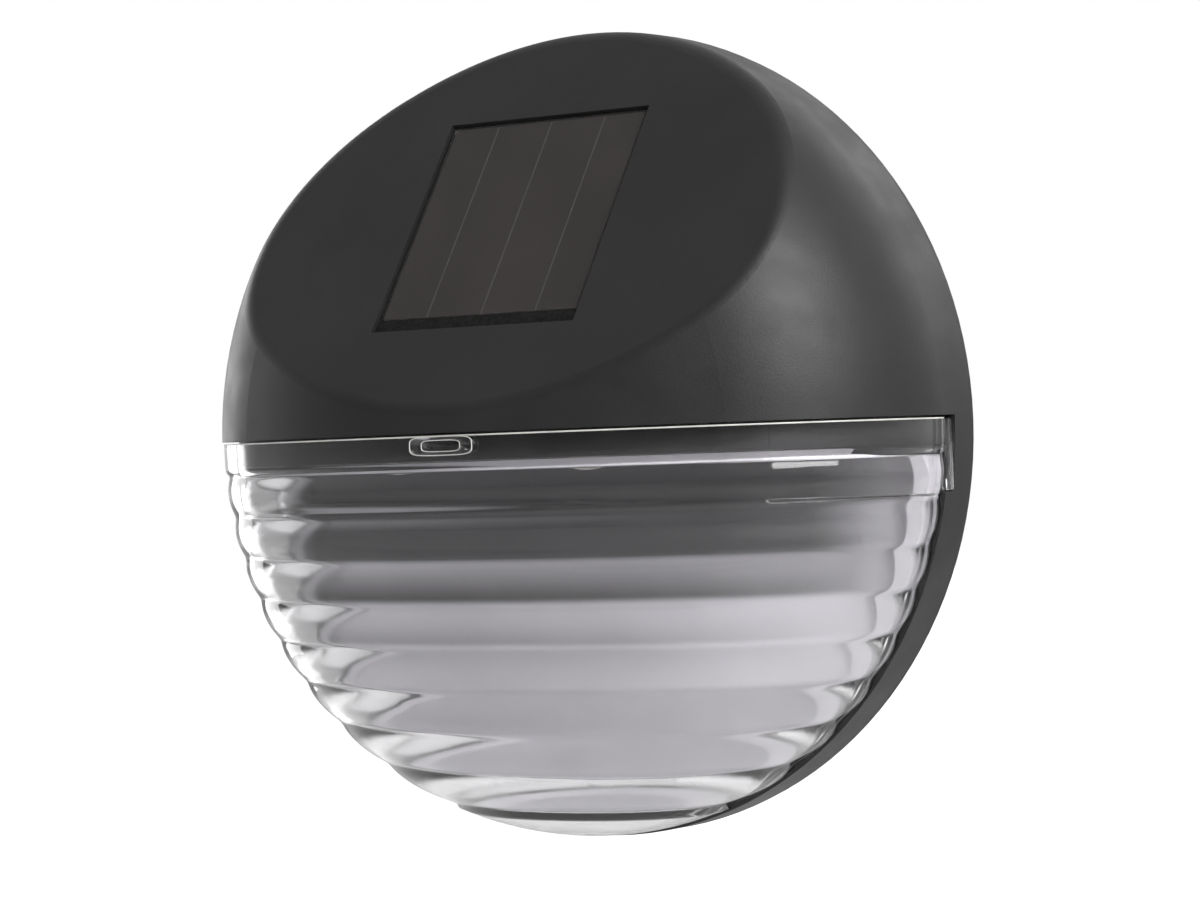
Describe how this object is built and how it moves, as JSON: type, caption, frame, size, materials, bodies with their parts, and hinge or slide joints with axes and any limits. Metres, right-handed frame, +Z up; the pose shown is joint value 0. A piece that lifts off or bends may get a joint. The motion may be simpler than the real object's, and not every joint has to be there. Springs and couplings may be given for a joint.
{
  "type": "solar fence light",
  "caption": "Round solar wall light: black domed housing with a tilted solar panel above a clear ribbed lens, rear keyhole, battery door and slide switch.",
  "frame": {"origin": "middle of the rear face, on the wall", "axes": "+Y into the wall, -Y to the front, +Z up, +X to the right seen from the front"},
  "size_m": [0.1098, 0.042, 0.11],
  "materials": {
    "black_shell": "fine-grained matt black",
    "clear_lens": "clear moulded plastic with horizontal ribs",
    "bright_tray": "satin metallised plastic",
    "clear_resin": "clear potting over the cells",
    "dark_cell": "dark brown-black amorphous cell",
    "board": "glass-fibre board",
    "sealant": "black sealing compound",
    "lamp_epoxy": "water-clear epoxy",
    "tinned_lead": "tinned steel",
    "zinc_screw": "zinc-plated",
    "black_part": "moulded black epoxy",
    "resistor_body": "beige lacquer",
    "seal_rubber": "soft black rubber",
    "cell_sleeve": "green plastic sleeve on a metal can",
    "nickel": "nickel-plated steel",
    "washer_card": "white card",
    "phenolic": "brown phenolic board",
    "red_wire": "soft vinyl",
    "black_wire": "soft vinyl"
  },
  "bodies": {
    "shell": {"housing": "black_shell", "lens": "clear_lens", "reflector": "bright_tray", "solar_resin": "clear_resin", "solar_cells": "dark_cell", "solar_backing": "board", "panel_sealant": "sealant", "led_left": "lamp_epoxy", "led_right": "lamp_epoxy", "led_leads_left": "tinned_lead", "led_leads_right": "tinned_lead", "circuit_board": "board", "board_screws": "zinc_screw", "driver_chip": "black_part", "choke": "black_part", "resistor": "resistor_body", "rear_cover": "black_shell", "rear_seal": "seal_rubber", "cover_screws": "zinc_screw", "contact_positive": "nickel", "contact_spring": "nickel", "switch_frame": "nickel", "switch_base": "phenolic", "switch_pins": "tinned_lead", "panel_wire_red": "red_wire", "panel_wire_black": "black_wire", "battery_wire_red": "red_wire", "battery_wire_black": "black_wire", "switch_wires": "red_wire"},
    "door": {"battery_door": "black_shell", "door_seal": "seal_rubber", "door_screws": "zinc_screw"},
    "cell": {"battery_body": "cell_sleeve", "battery_cap": "nickel", "battery_insulator": "washer_card"},
    "lever": {"switch_lever": "black_part"}
  },
  "joints": [
    {"name": "switch_slide", "type": "slide", "parent": "shell", "child": "lever", "axis": [1, 0, 0], "range_m": [0, 0.002]},
    {"name": "battery_door_lift", "type": "slide", "parent": "shell", "child": "door", "axis": [0, 1, 0], "range_m": [0, 0.046]},
    {"name": "battery_lift", "type": "slide", "parent": "shell", "child": "cell", "axis": [0, 1, 0], "range_m": [0, 0.023]}
  ],
  "couplings": [
    {"joint": "battery_lift", "follows": "battery_door_lift", "ratio": 0.5}
  ]
}
